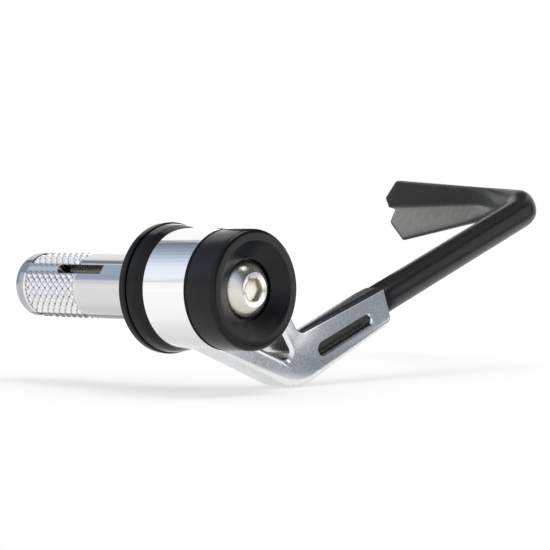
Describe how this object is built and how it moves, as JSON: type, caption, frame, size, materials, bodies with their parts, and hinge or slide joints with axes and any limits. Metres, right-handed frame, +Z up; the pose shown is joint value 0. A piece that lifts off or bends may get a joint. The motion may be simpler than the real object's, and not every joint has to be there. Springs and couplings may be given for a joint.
{
  "type": "brake lever guard",
  "caption": "Motorcycle brake lever guard: an expander plug for the bar end, a turning aluminium arm and a black hooked blade that shields the lever.",
  "frame": {"origin": "on the handlebar's axis, in the plane of the collar's back face, which meets the end of the bar", "axes": "+X outboard along the bar, +Y forward, +Z up; right-hand side of the machine"},
  "size_m": [0.0935, 0.1731, 0.0549],
  "materials": {
    "plug": "satin",
    "nut": "satin",
    "collar": "gloss black",
    "arm": "satin",
    "grub": "black oxide",
    "blade": "satin black",
    "cap": "satin black",
    "bolt": "polished stainless"
  },
  "bodies": {
    "bar_end": {"expander_plug": "plug", "wedge_nut": "nut", "collar": "collar", "end_cap": "cap", "clamp_bolt": "bolt"},
    "arm": {"arm": "arm", "grub_screws": "grub"},
    "blade": {"blade": "blade"}
  },
  "joints": [
    {"name": "arm_swing", "type": "hinge", "parent": "bar_end", "child": "arm", "pos_m": [0.01425, 0, 0], "axis": [1, 0, 0], "continuous": true},
    {"name": "blade_slide", "type": "slide", "parent": "arm", "child": "blade", "axis": [0, 0.9342, 0.3567], "range_m": [0, 0.008]}
  ]
}
